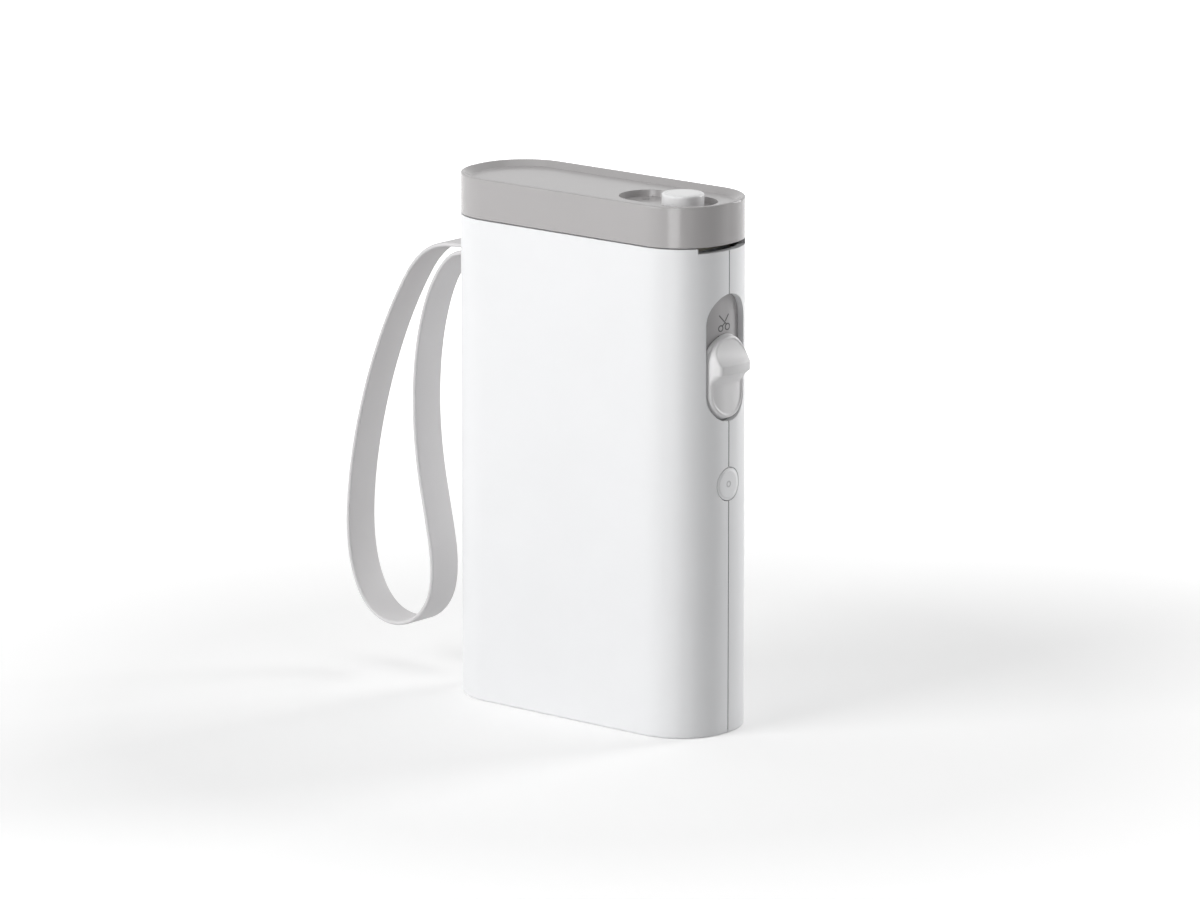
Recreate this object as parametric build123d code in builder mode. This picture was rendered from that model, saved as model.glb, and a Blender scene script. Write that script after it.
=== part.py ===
from build123d import *
import os
from math import acos, atan2, cos, degrees, pi, radians, sin, sqrt, tan

os.makedirs("parts", exist_ok=True)

# A pocket label printer that stands on its narrow base, in millimetres.
# +Z is up, the front faces -Y and labels leave at the right end, +X.
# The origin is the middle of the base.

# Body
WIDTH = 79.0
DEPTH = 30.0
HEIGHT = 130.0
END_FLAT = 2.2
WALL = 1.8
BASE_ROUND = 0.7
SEAM = 0.3
SEAM_DEPTH = 0.45
END_CUT = 4.6

# Cover
CAP_H = 9.9
CAP_GAP = 0.3
CAP_WALL = 1.6
CAP_ROUND = 0.4
RIM = 0.8
RECESS_INSET = 2.7
RECESS_DEPTH = 1.25
DISH_LENGTH = 26.4
DISH_WIDTH = 14.6
DISH_IN = 18.8
DISH_DEPTH = 1.55
DISH_SLOPE = 0.3
PAN_WALL = 1.2
PAN_FLOOR = 1.3

# Cover hinge, at the left end
HINGE_DROP = 1.4
HINGE_RELIEF = 9.5
HINGE_SWEEP = 4.2
HINGE_PIN_R = 1.0
KNUCKLE_R = 2.0
KNUCKLE_HALF = 3.0
EAR_HALF = 7.5
RUN = 0.05
GAP = 0.3

# Latch
KNOB_R = 5.1
KNOB_IN = 14.3
KNOB_H = 3.3
KNOB_ROUND = 0.5
LATCH_TRAVEL = 3.5
STEM_R = 1.5
SLIDER_T = 1.3
SLIDER_HALF = 5.1
SLIDE = 0.2
LATCH_SPRING = (0.6, 0.14, 7)
HOOK_BACK = 13.0
HOOK_LEG = 2.0
HOOK_NOSE = 2.2
HOOK_IN = 9.3
HOOK_OUT = 10.8
HOOK_DROP = 5.6
NOSE_H = 1.6
NOSE_LIP = 0.4
CLIP_T = 0.6
CLIP_DROP = 5.6
CLIP_FOOT = 2.5

# Frame under the cover
FRAME_T = 1.3
FRAME_SCREW_LEFT = 11.2
FRAME_SCREW_RIGHT = 4.7
FRAME_SCREW_IN = 6.0
FRAME_TAB = 9.9
FRAME_BOSS_R = 1.7
FRAME_RAIL_IN = 5.4
FRAME_RAIL_BACK = 9.2
ARM_R = 2.6

# Label path
TAPE_W = 14.0
WEB_T = 0.15
TAPE_DROP = 0.5
NIP = 0.1
EXIT_HALF = 8.8
EXIT_DROP = 1.2
ROLL_R = 23.0
ROLL_X = -7.0
ROLL_DROP = 24.2
CORE_R = 7.5
CORE_WALL = 1.15
ROLL_ROOM = 0.5
HOLDER_FLANGE_R = 9.0
HOLDER_T = 0.8
HOLDER_REACH = 1.8
HOLDER_WALL = 1.4
SENSOR = (1.9, 6.0, 3.4)

# Print head
HEAD_IN = 9.1
HEAD_ARM = 8.2
HEAD_T = 1.0
BEAD = 0.2
SINK_T = 1.3
PIN_R = 0.6
BEAD_R = 0.6
HEAD_WIRING = 2.0
HEAD_SPRING = (1.2, 0.2, 5)
HEAD_SPRING_BACK = 1.9

# Platen and gears
PLATEN_R = 2.9
SHAFT_R = 1.0
BUSH_R = 1.9
MODULE = 0.4
PRESSURE_ANGLE = 20.0
PINION_TEETH = 10
BIG_TEETH = 26
SMALL_TEETH = 14
IDLER_TEETH = 20
PLATEN_TEETH = 15
GEAR_PLAY = 0.05
BACKLASH = 0.09
GEAR_W = 1.2
GEAR_GAP = 0.2
IDLER_BACK = 1.5
REDUCTION_BACK = 4.2
MOTOR_BACK = 5.7
MOTOR_R = 6.0
MOTOR_L = 12.6
MOTOR_BOSS = 1.2
MOTOR_ROUND = 0.4
MOTOR_SCREW = (4.4, 0.8)
MOTOR_SCREW_IN = 2.0

# Chassis
PLATE_T = 1.0
BAY_WALL = 1.2
CHASSIS_DROP = 1.6
MOTOR_BAY = 34.2
SHELF_DROP = 5.3
SHELF_T = 1.2
ARM_DROP = 0.6
ARM_T = 2.0
ARM_FOOT = (0.4, 6.0)
CHASSIS_SCREW = (20.5, 3.0, 5.0)

# Cutter, in the right end
TRACK_W = 14.0
TRACK_H = 31.0
TRACK_DROP = 27.3
TRACK_DEPTH = 1.6
TRACK_T = 1.2
TRACK_FLANGE = 1.2
LEVER_W = 13.2
LEVER_H = 21.3
LEVER_REST = 0.5
CUTTER_TRAVEL = 8.5
LEVER_CROWN = 0.25
RIDGE_OUT = 2.9
RIDGE_UP = 12.4
RIDGE_T = 2.1
RIDGE_HALF = 5.2
SCOOP_DEPTH = 1.0
CUTTER_STEM_W = 4.0
CUTTER_STEM_H = 4.0
CUTTER_STEM_UP = 9.5
CARRIAGE_IN = 6.1
CARRIAGE_UP = 4.5
CARRIAGE_H = 22.0
CARRIAGE_HALF = 5.6
BLADE_IN = 4.5
BLADE_T = 0.4
BLADE_REST = 4.8
BLADE_HALF = 7.4
RAIL_W = 1.1
BLADE_HOLD = 6.0
BLADE_H = 4.3
BLADE_SLANT = 1.4
SPRING_IN = 5.2
PEG_R = 0.8
PEG_DROP = 7.0
TAB_HALF = 3.0
RAIL_OVER = 1.5
CUTTER_SPRING = (0.9, 0.2, 9)
LEVER_RIM = 1.5
RIDGE_SINK = 0.3
RIDGE_ROUND = 0.5
RIDGE_HOLLOW = (0.9, 2.6, 1.8)
RIDGE_ROOT = 5.5
RIDGE_FOOT = 1.5
SCOOP_R = 14.0

# Power button
BUTTON_DROP = 15.4
BUTTON_R = 3.95
BUTTON_PLAY = 0.2
BUTTON_TRAVEL = 0.5
PLUNGER_R = 0.9
PLUNGER_OUT = 1.0
BUTTON_FLANGE = 0.8
BUTTON_LIP = 0.85

# Electronics
BOARD_T = 1.6
BOARD_INSET = 11.5
BOARD_LOW = 5.0
BOARD_DROP = 6.5
BOARD_SCREW = (4.0, 14.0, 7.0)
BOARD_EDGE = 2.0
BOARD_SCREW_L = 4.0
SWITCH_T = 3.2
SWITCH_W = 5.4
SWITCH_IN = 6.1
USB_W = 8.9
USB_T = 3.2
USB_L = 7.0
USB_Z = 22.0
USB_PLAY = 0.3
USB_IN = 0.8
USB_SHELL = 0.3
BATTERY = (34.0, 10.0, 48.0)
BATTERY_LOW = 8.0
BATTERY_ROUND = 2.0
BOARD_CHIPS = [(-8.0, 28.0, 12.0, 12.0, 1.2), (10.0, 34.0, 6.0, 8.0, 1.0), (-20.0, 36.0, 7.0, 5.0, 1.6)]
RIBBON_OUT = 1.8
RIBBON_BACK = 6.0
RIBBON_TURN = 6.4
RIBBON_W = 4.0
RIBBON_T = 0.2
RIBBON_PLUG = 6.0
RIBBON_BEND = 2.0

# Wrist strap
STRAP_W = 10.0
STRAP_T = 1.1
STRAP_GAP = 0.4
STRAP_BAR_IN = 4.6
STRAP_BAR_DROP = 10.45
STRAP_BAR_R = 1.2
STRAP_EYE_R = 2.1
STRAP_SLOT_PLAY = 0.3
STRAP_ROOT = 1.6
STRAP_BAR_OVER = 3.0

# Screws
SCREW_R = 0.8
SCREW_HEAD_R = 1.8
SCREW_HEAD_H = 1.3
POST_R = 2.5
SHELL_SCREW = (7.5, 11.5, 9.0, 4.5, 10.0)
SHELL_SCREW_SEAT = 6.0
SHELL_SCREW_L = 14.0

# Heights and radii that follow from the sizes above
cap_low = HEIGHT - CAP_H
body_top = cap_low - CAP_GAP
recess_z = HEIGHT - RECESS_DEPTH
dish_z = recess_z - DISH_DEPTH
pan_low = dish_z - PAN_FLOOR
cap_ceiling = recess_z - CAP_WALL
corner = (DEPTH - END_FLAT) / 2
end_x = WIDTH / 2
arc_x = WIDTH / 2 - corner
arc_y = DEPTH / 2 - corner
half_tape = TAPE_W / 2
tape_z = body_top - TAPE_DROP
chassis_top = body_top - CHASSIS_DROP
roll_z = chassis_top - ROLL_DROP
bay_r = ROLL_R + ROLL_ROOM
bay_low = roll_z - bay_r
motor_bay_low = chassis_top - MOTOR_BAY
plate_in = half_tape + GEAR_GAP
plate_out = plate_in + PLATE_T


def end_at(y, inset=0.0):
    """How far the rounded end reaches along X at a distance y from the middle."""
    return arc_x + sqrt((corner - inset) ** 2 - (abs(y) - arc_y) ** 2)


hinge_x = -end_at(HINGE_RELIEF)
hinge_z = body_top - HINGE_DROP
head_x = end_x - HEAD_IN
platen_z = tape_z + WEB_T + NIP + PLATEN_R


def next_centre(x, z, teeth_a, teeth_b, new_x):
    """Centre of a gear below another, in mesh with it, at a chosen X."""
    distance = MODULE * (teeth_a + teeth_b) / 2 + GEAR_PLAY
    return new_x, z - sqrt(distance**2 - (x - new_x) ** 2)


platen_at = (head_x, platen_z)
idler_at = next_centre(*platen_at, PLATEN_TEETH, IDLER_TEETH, head_x - IDLER_BACK)
reduction_at = next_centre(*idler_at, IDLER_TEETH, SMALL_TEETH, head_x - REDUCTION_BACK)
motor_at = next_centre(*reduction_at, BIG_TEETH, PINION_TEETH, head_x - MOTOR_BACK)
motor_x = motor_at[0]
layer_a = plate_out + GEAR_GAP
layer_b = layer_a + GEAR_W + GEAR_GAP


def z_plane(z):
    return Plane.XY.offset(z)


def y_plane(y):
    """Faces the front: sketch X is +X and sketch Y is +Z, and it extrudes towards -Y."""
    return Plane.XZ.offset(-y)


def x_plane(x):
    """Faces the right end: sketch X is +Y and sketch Y is +Z."""
    return Plane.YZ.offset(x)


def write(part, label):
    part.part.label = label
    export_step(part.part, f"parts/{label}.step")


def outline(low, high, inset=0.0, mode=Mode.ADD):
    """A slab with the printer's rounded plan."""
    with BuildSketch(z_plane(low)) as plan:
        RectangleRounded(WIDTH - 2 * inset, DEPTH - 2 * inset, corner - inset)
    extrude(plan.sketch, amount=high - low, mode=mode)


def end_ring(low, high, outer, inner):
    """A wall that follows the rounded plan, between two insets."""
    outline(low, high, outer)
    outline(low, high, inner, Mode.SUBTRACT)


def block(x, y, z, mode=Mode.ADD):
    """A box between two values on each axis."""
    with BuildSketch(z_plane(z[0])) as plan:
        with Locations(((x[0] + x[1]) / 2, (y[0] + y[1]) / 2)):
            Rectangle(x[1] - x[0], y[1] - y[0])
    extrude(plan.sketch, amount=z[1] - z[0], mode=mode)


def rod_y(at, r, y0, y1, mode=Mode.ADD):
    """A round bar along Y with its centre at (x, z)."""
    with BuildSketch(y_plane(y1)) as plan:
        with Locations(at):
            Circle(r)
    extrude(plan.sketch, amount=y1 - y0, mode=mode)


def rod_z(at, r, z0, z1, mode=Mode.ADD):
    """A round bar along Z with its centre at (x, y)."""
    with BuildSketch(z_plane(z0)) as plan:
        with Locations(at):
            Circle(r)
    extrude(plan.sketch, amount=z1 - z0, mode=mode)


def rod_x(at, r, x0, x1, mode=Mode.ADD):
    """A round bar along X with its centre at (y, z)."""
    with BuildSketch(x_plane(x0)) as plan:
        with Locations(at):
            Circle(r)
    extrude(plan.sketch, amount=x1 - x0, mode=mode)


def upright_slot(width, height, z, x0, x1, mode=Mode.ADD):
    """A slab along X with a round-ended outline that stands upright."""
    with BuildSketch(x_plane(x0)) as plan:
        with Locations((0, z)):
            SlotOverall(height, width, rotation=90)
    extrude(plan.sketch, amount=x1 - x0, mode=mode)


# Body shells, parted at y = 0 from the label exit down to the base
board_half = end_x - BOARD_INSET
board_top = bay_low - BOARD_DROP
shell_screw_at = [(side * (end_x - SHELL_SCREW[0]), SHELL_SCREW[2]) for side in (-1, 1)]
shell_screw_at += [(SHELL_SCREW[0] - end_x, bay_low - SHELL_SCREW[3])]
shell_screw_at += [(end_x - SHELL_SCREW[1], motor_bay_low - SHELL_SCREW[4])]
board_screw_at = [(side * (board_half - BOARD_SCREW[0]), BOARD_LOW + BOARD_SCREW[2]) for side in (-1, 1)]
board_screw_at += [(side * (board_half - BOARD_SCREW[1]), board_top - BOARD_SCREW[2]) for side in (-1, 1)]
chassis_screw_at = [(ROLL_X + side * CHASSIS_SCREW[0], bay_low + CHASSIS_SCREW[1]) for side in (-1, 1)]
chassis_screw_at += [(motor_x, motor_bay_low + CHASSIS_SCREW[2])]
motor_screw_at = [(motor_at[0] + side * MOTOR_SCREW[0], motor_at[1] - MOTOR_SCREW[1]) for side in (-1, 1)]
inner_y = DEPTH / 2 - WALL
switch_half = SWITCH_T / 2
board_back = -switch_half
board_front = board_back - BOARD_T
track_z = body_top - TRACK_DROP
track_low = track_z - TRACK_H / 2
button_z = track_low - BUTTON_DROP
strap_bar_at = (STRAP_BAR_IN - end_x, body_top - STRAP_BAR_DROP)
screw_seat = DEPTH / 2 - SHELL_SCREW_SEAT
screw_end = screw_seat - SHELL_SCREW_L
chassis_screw_end = inner_y - WALL / 2
strap_bar_half = STRAP_W / 2 + STRAP_BAR_OVER
strap_eye_y = STRAP_W / 2 + 2 * GAP


def housing():
    """Both body shells in one piece, with every opening in the walls."""
    outline(0, body_top)
    fillet(faces().sort_by(Axis.Z)[0].edges(), BASE_ROUND)
    outline(WALL, body_top, WALL, Mode.SUBTRACT)


def openings():
    """Cuts through the walls, made once the posts stand."""
    block((arc_x, end_x + WALL), (-EXIT_HALF, EXIT_HALF), (body_top - EXIT_DROP, HEIGHT), Mode.SUBTRACT)
    upright_slot(TRACK_W, TRACK_H, track_z, end_x - END_CUT, end_x + WALL, Mode.SUBTRACT)
    rod_x((0, button_z), BUTTON_R + BUTTON_PLAY, end_x - END_CUT, end_x + WALL, Mode.SUBTRACT)
    rod_y((hinge_x, hinge_z), HINGE_SWEEP + GAP, -HINGE_RELIEF, HINGE_RELIEF, Mode.SUBTRACT)
    left_wall = (-end_x - WALL, -end_x + 2 * WALL)
    slot_half = STRAP_W / 2 + STRAP_SLOT_PLAY
    slot_tall = STRAP_T + STRAP_GAP / 2 + STRAP_SLOT_PLAY
    slot_z = (strap_bar_at[1] - slot_tall, strap_bar_at[1] + slot_tall)
    block(left_wall, (-slot_half, slot_half), slot_z, Mode.SUBTRACT)
    upright_slot(USB_T + 2 * USB_PLAY, USB_W + 2 * USB_PLAY, USB_Z, *left_wall, mode=Mode.SUBTRACT)
    for x in (-end_x, end_x - SEAM_DEPTH):
        block((x, x + SEAM_DEPTH), (-SEAM / 2, SEAM / 2), (0, body_top), Mode.SUBTRACT)


with BuildPart() as front_shell:
    housing()
    for at in shell_screw_at:
        rod_y(at, POST_R, -DEPTH / 2, 0)
        rod_y(at, SCREW_R, screw_end - GAP, 0, Mode.SUBTRACT)
    for at in board_screw_at:
        rod_y(at, POST_R, -inner_y - WALL / 2, board_front)
        rod_y(at, SCREW_R, board_front - BOARD_SCREW_L, board_front, Mode.SUBTRACT)
    rod_y(strap_bar_at, STRAP_EYE_R, -DEPTH / 2, -strap_eye_y)
    rod_y(strap_bar_at, STRAP_BAR_R, -strap_bar_half, 0, Mode.SUBTRACT)
    outline(0, body_top, 0, Mode.INTERSECT)
    openings()
    split(bisect_by=Plane.XZ, keep=Keep.TOP)
write(front_shell, "front_shell")

with BuildPart() as rear_shell:
    housing()
    for at in shell_screw_at:
        rod_y(at, POST_R, 0, DEPTH / 2)
        rod_y(at, SCREW_R + GAP, 0, DEPTH / 2, Mode.SUBTRACT)
        rod_y(at, SCREW_HEAD_R + GAP, screw_seat, DEPTH / 2, Mode.SUBTRACT)
    for at in chassis_screw_at:
        rod_y(at, POST_R, plate_out, inner_y + WALL / 2)
        rod_y(at, SCREW_R, plate_out, chassis_screw_end, Mode.SUBTRACT)
    rod_y(strap_bar_at, STRAP_EYE_R, strap_eye_y, DEPTH / 2)
    rod_y(strap_bar_at, STRAP_BAR_R, 0, strap_bar_half, Mode.SUBTRACT)
    outline(0, body_top, 0, Mode.INTERSECT)
    openings()
    split(bisect_by=Plane.XZ, keep=Keep.BOTTOM)
write(rear_shell, "rear_shell")

with BuildPart() as shell_screws:
    for at in shell_screw_at:
        rod_y(at, SCREW_HEAD_R, screw_seat, screw_seat + SCREW_HEAD_H)
        rod_y(at, SCREW_R, screw_end, screw_seat)
        rod_y(at, SCREW_R / 2, screw_seat + SCREW_HEAD_H / 2, screw_seat + SCREW_HEAD_H, Mode.SUBTRACT)
write(shell_screws, "shell_screws")

# Chassis: two side plates with the roll bay, the motor bay and the head shelf between them
roll_at = (ROLL_X, roll_z)
bay_left = ROLL_X - bay_r
bay_right = ROLL_X + bay_r
guide_x = bay_right + BAY_WALL
chassis_left = bay_left - BAY_WALL
chassis_right = motor_x + MOTOR_R + 2 * GAP
sink_low = tape_z - NIP - BEAD - HEAD_T - SINK_T
shelf_z = sink_low - SHELF_DROP
head_pivot = (head_x - HEAD_ARM, sink_low)
holder_r = CORE_R - CORE_WALL - RUN
pocket = (-plate_in, plate_in)
sides = (-1, 1)


def side_span(side, near, far):
    """The two Y values of a piece that stands on one side of the middle."""
    return (near, far) if side > 0 else (-far, -near)


with BuildPart() as chassis:
    with BuildSketch(y_plane(plate_out)):
        with BuildLine():
            Polyline(
                (chassis_left, bay_low - BAY_WALL),
                (guide_x, bay_low - BAY_WALL),
                (guide_x, motor_bay_low),
                (chassis_right, motor_bay_low),
                (chassis_right, chassis_top),
                (chassis_left, chassis_top),
                close=True,
            )
        make_face()
    extrude(amount=2 * plate_out)
    rod_y(roll_at, bay_r, *pocket, mode=Mode.SUBTRACT)
    block((bay_left, bay_right), pocket, (roll_z, chassis_top), Mode.SUBTRACT)
    block((guide_x, chassis_right), pocket, (motor_bay_low + BAY_WALL, shelf_z - SHELF_T), Mode.SUBTRACT)
    block((guide_x, chassis_right), pocket, (shelf_z, chassis_top), Mode.SUBTRACT)
    block((bay_right, guide_x), (-plate_out, plate_out), (chassis_top, tape_z - NIP))
    rod_y(roll_at, holder_r + GAP, -plate_out, plate_out, Mode.SUBTRACT)
    for at in chassis_screw_at:
        rod_y(at, POST_R, -plate_out, plate_in, Mode.SUBTRACT)
        rod_y(at, SCREW_R + RUN, plate_in, plate_out, Mode.SUBTRACT)
    rod_y(head_pivot, PIN_R, -plate_out, plate_out, Mode.SUBTRACT)
    for at in (idler_at, reduction_at):
        rod_y(at, PIN_R, plate_in, plate_out, Mode.SUBTRACT)
    rod_y(motor_at, 2 * SHAFT_R, plate_in, plate_out, Mode.SUBTRACT)
    for at in motor_screw_at:
        rod_y(at, PIN_R, plate_in, plate_out, Mode.SUBTRACT)
    arm_z = (hinge_z - ARM_DROP, hinge_z - ARM_DROP + ARM_T)
    block((hinge_x, bay_left), (-KNUCKLE_HALF, KNUCKLE_HALF), arm_z)
    foot_x = (chassis_left - ARM_FOOT[0], bay_left)
    block(foot_x, (-KNUCKLE_HALF, KNUCKLE_HALF), (arm_z[0] - ARM_FOOT[1], arm_z[1]))
    rod_y((hinge_x, hinge_z), KNUCKLE_R, -KNUCKLE_HALF, KNUCKLE_HALF)
    rod_y((hinge_x, hinge_z), HINGE_PIN_R + RUN, -KNUCKLE_HALF, KNUCKLE_HALF, Mode.SUBTRACT)
write(chassis, "chassis")

with BuildPart() as chassis_screws:
    for at in chassis_screw_at:
        rod_y(at, SCREW_HEAD_R, plate_in - SCREW_HEAD_H, plate_in)
        rod_y(at, SCREW_R, plate_in, chassis_screw_end - GAP)
write(chassis_screws, "chassis_screws")

# Label roll on two holders that plug into its core
with BuildPart() as roll_holders:
    for side in sides:
        rod_y(roll_at, HOLDER_FLANGE_R, *side_span(side, plate_out, plate_out + HOLDER_T))
        rod_y(roll_at, holder_r, *side_span(side, half_tape - HOLDER_REACH, plate_out + HOLDER_T))
        rod_y(roll_at, holder_r - HOLDER_WALL, *side_span(side, 0, plate_out + HOLDER_T), Mode.SUBTRACT)
write(roll_holders, "roll_holders")

with BuildPart() as label_roll:
    rod_y(roll_at, ROLL_R, -half_tape, half_tape)
    rod_y(roll_at, CORE_R, -half_tape, half_tape, Mode.SUBTRACT)
write(label_roll, "label_roll")

with BuildPart() as roll_core:
    rod_y(roll_at, CORE_R, -half_tape, half_tape)
    rod_y(roll_at, CORE_R - CORE_WALL, -half_tape, half_tape, Mode.SUBTRACT)
write(roll_core, "roll_core")

# The strip of labels leaves the top of the roll, bends over the guide and ends short of the blade
strip_end = end_x - BLADE_IN - 2 * GAP
strip_start = (ROLL_X, roll_z + ROLL_R + GAP + NIP)
with BuildPart() as label_strip:
    with BuildSketch(y_plane(half_tape)):
        with BuildLine():
            Polyline(
                strip_start,
                (guide_x - BAY_WALL / 2, tape_z),
                (strip_end, tape_z),
                (strip_end, tape_z + WEB_T),
                (guide_x - BAY_WALL / 2, tape_z + WEB_T),
                (strip_start[0], strip_start[1] + WEB_T),
                close=True,
            )
        make_face()
    extrude(amount=TAPE_W)
write(label_strip, "label_strip")

with BuildPart() as label_sensor:
    sensor_x = (guide_x, guide_x + SENSOR[0])
    block(sensor_x, (-SENSOR[1] / 2, SENSOR[1] / 2), (chassis_top - SENSOR[2], chassis_top))
write(label_sensor, "label_sensor")

# Print head on its sprung heat sink, which tilts about a pin
sink_right = head_x + PLATEN_R
with BuildPart() as heat_sink:
    block((head_pivot[0], sink_right), (-half_tape, half_tape), (sink_low, sink_low + SINK_T))
    rod_y(head_pivot, SINK_T, -half_tape, half_tape)
    rod_y(head_pivot, PIN_R + RUN, -half_tape, half_tape, Mode.SUBTRACT)
write(heat_sink, "heat_sink")

head_low = sink_low + SINK_T
head_left = 2 * head_x - sink_right - HEAD_WIRING
with BuildPart() as print_head:
    block((head_left, sink_right), (-half_tape, half_tape), (head_low, head_low + HEAD_T))
    rod_y((head_x, head_low + HEAD_T + BEAD - BEAD_R), BEAD_R, -half_tape, half_tape)
write(print_head, "print_head")

with BuildPart() as head_pin:
    rod_y(head_pivot, PIN_R, -plate_out, plate_out)
write(head_pin, "head_pin")


def coil(radius, wire, turns, length):
    """A compression spring along Z that starts at the origin."""
    with BuildLine() as path:
        Helix(pitch=length / turns, height=length, radius=radius)
    with BuildSketch(Plane(origin=path.line @ 0, z_dir=path.line % 0)) as section:
        RegularPolygon(wire, 6)
    return sweep(section.sketch, path=path.line, is_frenet=True, mode=Mode.PRIVATE)


head_spring_low = shelf_z + HEAD_SPRING[1]
head_spring_length = sink_low - shelf_z - 2 * HEAD_SPRING[1]
head_coil = coil(*HEAD_SPRING, head_spring_length)
with BuildPart() as head_springs:
    with Locations(*[(head_x - HEAD_SPRING_BACK, side * half_tape / 2, head_spring_low) for side in sides]):
        add(head_coil)
write(head_springs, "head_springs")

# Gears: the motor's pinion drives a double gear, an idler and the platen's gear


def involute(base, radius):
    """The angle between an involute's root and its point at a radius, in radians."""
    return sqrt((radius / base) ** 2 - 1) - acos(base / radius)


def tooth_outline(teeth, phase):
    """Corners of a gear with a tooth at the angle phase, in degrees."""
    pitch = MODULE * teeth / 2
    base = pitch * cos(radians(PRESSURE_ANGLE))
    root = pitch - 1.25 * MODULE
    tip = pitch + MODULE
    half = (pi * MODULE - BACKLASH) / (4 * pitch) + involute(base, pitch)
    flank = [root] + [max(base, root) + (tip - max(base, root)) * step for step in (0.02, 0.4, 0.7, 1)]
    halves = [(r, half - involute(base, max(r, base))) for r in flank]
    points = []
    for tooth in range(teeth):
        middle = radians(phase) + 2 * pi * tooth / teeth
        corners = [(r, middle - a) for r, a in halves] + [(r, middle + a) for r, a in reversed(halves)]
        points += [(r * cos(a), r * sin(a)) for r, a in corners]
    return points


def gear(at, teeth, phase, y0):
    """A gear of one gear width, from y0 to the rear."""
    with BuildSketch(y_plane(y0 + GEAR_W)) as plan:
        with Locations(at):
            Polygon(*tooth_outline(teeth, phase), align=None)
    extrude(plan.sketch, amount=GEAR_W)


def meshed_phase(phase, teeth, at, other_teeth, other_at):
    """The angle of a tooth on the second gear that puts it in mesh with the first."""
    line = degrees(atan2(other_at[1] - at[1], other_at[0] - at[0]))
    offset = (phase - line) / (360 / teeth)
    return line + 180 - (360 / other_teeth) * (offset + 0.5)


idler_phase = 0.0
platen_phase = meshed_phase(idler_phase, IDLER_TEETH, idler_at, PLATEN_TEETH, platen_at)
small_phase = meshed_phase(idler_phase, IDLER_TEETH, idler_at, SMALL_TEETH, reduction_at)
big_phase = 0.0
pinion_phase = meshed_phase(big_phase, BIG_TEETH, reduction_at, PINION_TEETH, motor_at)

with BuildPart() as motor_pinion:
    gear(motor_at, PINION_TEETH, pinion_phase, layer_b)
    rod_y(motor_at, 2 * PIN_R, plate_out + GEAR_GAP, layer_b)
    rod_y(motor_at, PIN_R, plate_out, layer_b + GEAR_W, Mode.SUBTRACT)
write(motor_pinion, "motor_pinion")

with BuildPart() as motor_shaft:
    rod_y(motor_at, PIN_R, plate_in - MOTOR_BOSS, layer_b + GEAR_W)
write(motor_shaft, "motor_shaft")

with BuildPart() as reduction_gear:
    gear(reduction_at, SMALL_TEETH, small_phase, layer_a)
    rod_y(reduction_at, SMALL_TEETH * MODULE / 3, layer_a + GEAR_W, layer_b)
    gear(reduction_at, BIG_TEETH, big_phase, layer_b)
    rod_y(reduction_at, PIN_R + RUN, layer_a, layer_b + GEAR_W, Mode.SUBTRACT)
write(reduction_gear, "reduction_gear")

with BuildPart() as idler_gear:
    gear(idler_at, IDLER_TEETH, idler_phase, layer_a)
    rod_y(idler_at, PIN_R + RUN, layer_a, layer_a + GEAR_W, Mode.SUBTRACT)
write(idler_gear, "idler_gear")

with BuildPart() as gear_pins:
    for at, far in ((idler_at, layer_a + GEAR_W), (reduction_at, layer_b + GEAR_W)):
        rod_y(at, PIN_R, plate_in, far + 2 * GEAR_GAP)
        rod_y(at, PIN_R + GEAR_GAP, plate_out, plate_out + GEAR_GAP / 2)
write(gear_pins, "gear_pins")

with BuildPart() as motor:
    rod_y(motor_at, MOTOR_R, plate_in - MOTOR_L, plate_in)
    fillet(edges().filter_by(GeomType.CIRCLE), MOTOR_ROUND)
    rod_y(motor_at, PIN_R + RUN, plate_in - MOTOR_BOSS - GAP, plate_in, Mode.SUBTRACT)
    for at in motor_screw_at:
        rod_y(at, PIN_R, plate_in - MOTOR_SCREW_IN, plate_in, Mode.SUBTRACT)
write(motor, "motor")

with BuildPart() as motor_screws:
    for at in motor_screw_at:
        rod_y(at, PIN_R, plate_in - MOTOR_SCREW_IN, plate_out)
        rod_y(at, 2 * PIN_R, plate_out, plate_out + PIN_R)
write(motor_screws, "motor_screws")

# Platen, carried by the cover
with BuildPart() as platen_roller:
    rod_y(platen_at, PLATEN_R, -half_tape, half_tape)
    rod_y(platen_at, SHAFT_R, -half_tape, half_tape, Mode.SUBTRACT)
write(platen_roller, "platen_roller")

with BuildPart() as platen_shaft:
    rod_y(platen_at, SHAFT_R, -plate_out - 2 * GEAR_GAP, layer_a + GEAR_W + GEAR_GAP)
write(platen_shaft, "platen_shaft")

with BuildPart() as platen_gear:
    gear(platen_at, PLATEN_TEETH, platen_phase, layer_a)
    rod_y(platen_at, SHAFT_R, layer_a, layer_a + GEAR_W, Mode.SUBTRACT)
write(platen_gear, "platen_gear")

with BuildPart() as platen_bushes:
    for side in sides:
        rod_y(platen_at, BUSH_R, *side_span(side, plate_in, plate_out))
        rod_y(platen_at, SHAFT_R + RUN, *side_span(side, plate_in, plate_out), Mode.SUBTRACT)
write(platen_bushes, "platen_bushes")

# Cover
slider_top = pan_low - SLIDE
slider_low = slider_top - SLIDER_T
frame_top = slider_low - SLIDE
frame_low = frame_top - FRAME_T
knob_x = end_x - KNOB_IN
dish_x = end_x - DISH_IN
hook_x = knob_x - HOOK_BACK
hook_right = hook_x + HOOK_LEG
hook_low = chassis_top - HOOK_DROP
rail_left = hook_x - FRAME_RAIL_BACK
stem_x = knob_x - LATCH_TRAVEL / 2
screw_left = hook_x - FRAME_SCREW_LEFT
screw_right = knob_x - FRAME_SCREW_RIGHT
frame_screw_at = [(screw_left, side * FRAME_SCREW_IN) for side in sides]
frame_screw_at += [(screw_right, side * FRAME_TAB) for side in sides]

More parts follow.
